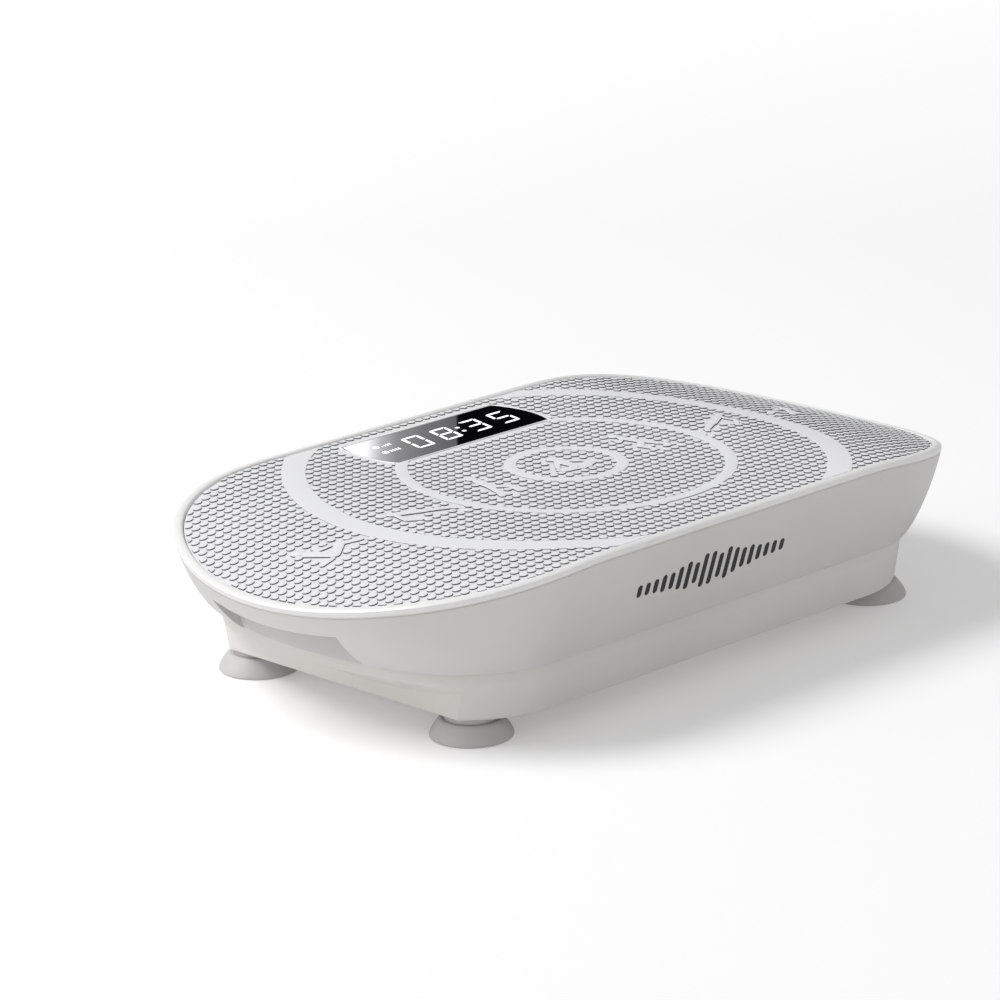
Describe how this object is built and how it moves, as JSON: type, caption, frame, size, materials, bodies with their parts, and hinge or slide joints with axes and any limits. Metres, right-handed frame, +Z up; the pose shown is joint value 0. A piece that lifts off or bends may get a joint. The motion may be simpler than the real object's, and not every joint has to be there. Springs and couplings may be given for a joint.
{
  "type": "rocking vibration plate",
  "caption": "Low rocking vibration plate: crowned dotted tread on a bowl-sided shell, narrower base, suction-cup feet, lit display strip, belt-driven eccentric inside.",
  "frame": {"origin": "centre of the footprint on the ground, under the middle of the deck", "axes": "+X along the long side, +Y towards the side with the display, +Z up"},
  "size_m": [0.58, 0.33, 0.12],
  "materials": {
    "shell_white": "satin moulded ABS",
    "base_white": "satin moulded ABS, slightly warmer",
    "mat_rubber": "pale grey dotted rubber",
    "foot_rubber": "light grey soft rubber",
    "lens_black": "glossy black lens",
    "digit_white": "lit white bars",
    "steel": "zinc plated sheet",
    "zinc": "plated fasteners",
    "bearing_steel": "ground steel",
    "iron": "painted casting",
    "cast_alloy": "die-cast alloy",
    "motor_black": "black enamel",
    "black_plastic": "black moulded plastic",
    "switch_black": "polished black key",
    "belt_rubber": "ribbed belt",
    "brass": "turned brass",
    "circuit_green": "solder-mask green",
    "cable_black": "cable sheath",
    "cable_red": "cable sheath"
  },
  "bodies": {
    "base": {"base_shell": "base_white", "foot_cups": "foot_rubber", "foot_screws": "zinc", "foot_nuts": "zinc", "chassis_plate": "steel", "chassis_screws": "zinc", "pivot_blocks": "iron", "pivot_bearings": "bearing_steel", "crank_blocks": "iron", "crank_bearings": "bearing_steel", "block_bolts": "zinc", "motor_can": "motor_black", "motor_endbell": "cast_alloy", "motor_cradle": "black_plastic", "motor_straps": "steel", "drive_belt": "belt_rubber", "power_inlet": "black_plastic", "switch_housing": "black_plastic", "board_standoffs": "brass", "control_board": "circuit_green", "board_parts": "black_plastic", "heat_sink": "cast_alloy", "power_harness": "cable_black", "motor_leads": "cable_red"},
    "platform": {"top_shell": "shell_white", "tread_mat": "mat_rubber", "display_lens": "lens_black", "display_digits": "digit_white", "display_frame": "black_plastic", "display_board": "circuit_green", "deck_plate": "steel", "deck_screws": "zinc", "pivot_hangers": "steel", "pivot_shafts": "bearing_steel", "rod_clevises": "steel", "rod_pins": "bearing_steel"},
    "rods": {"connecting_rods": "cast_alloy", "rod_bushes": "brass"},
    "crank": {"crankshaft": "bearing_steel", "driven_pulley": "cast_alloy", "eccentric_bearings": "bearing_steel"},
    "rotor": {"motor_rotor": "bearing_steel", "motor_pulley": "cast_alloy"},
    "rocker": {"switch_rocker": "switch_black"}
  },
  "joints": [
    {"name": "platform_rock", "type": "hinge", "parent": "base", "child": "platform", "pos_m": [0, 0, 0.062], "axis": [0, 1, 0], "range_deg": [-0.75, 0.75]},
    {"name": "rod_swing", "type": "hinge", "parent": "platform", "child": "rods", "pos_m": [-0.0764, 0, 0.0975], "axis": [0, 1, 0], "range_deg": [-1.6, 1.6]},
    {"name": "crank_turn", "type": "hinge", "parent": "base", "child": "crank", "pos_m": [-0.0764, 0, 0.06], "axis": [0, 1, 0], "continuous": true},
    {"name": "motor_turn", "type": "hinge", "parent": "base", "child": "rotor", "pos_m": [-0.163, 0, 0.06], "axis": [0, 1, 0], "continuous": true},
    {"name": "switch_rock", "type": "hinge", "parent": "base", "child": "rocker", "pos_m": [0.115, 0.1366, 0.031], "axis": [1, 0, 0], "range_deg": [0, 18]}
  ],
  "couplings": [
    {"joint": "motor_turn", "follows": "crank_turn", "ratio": 2.5833}
  ]
}
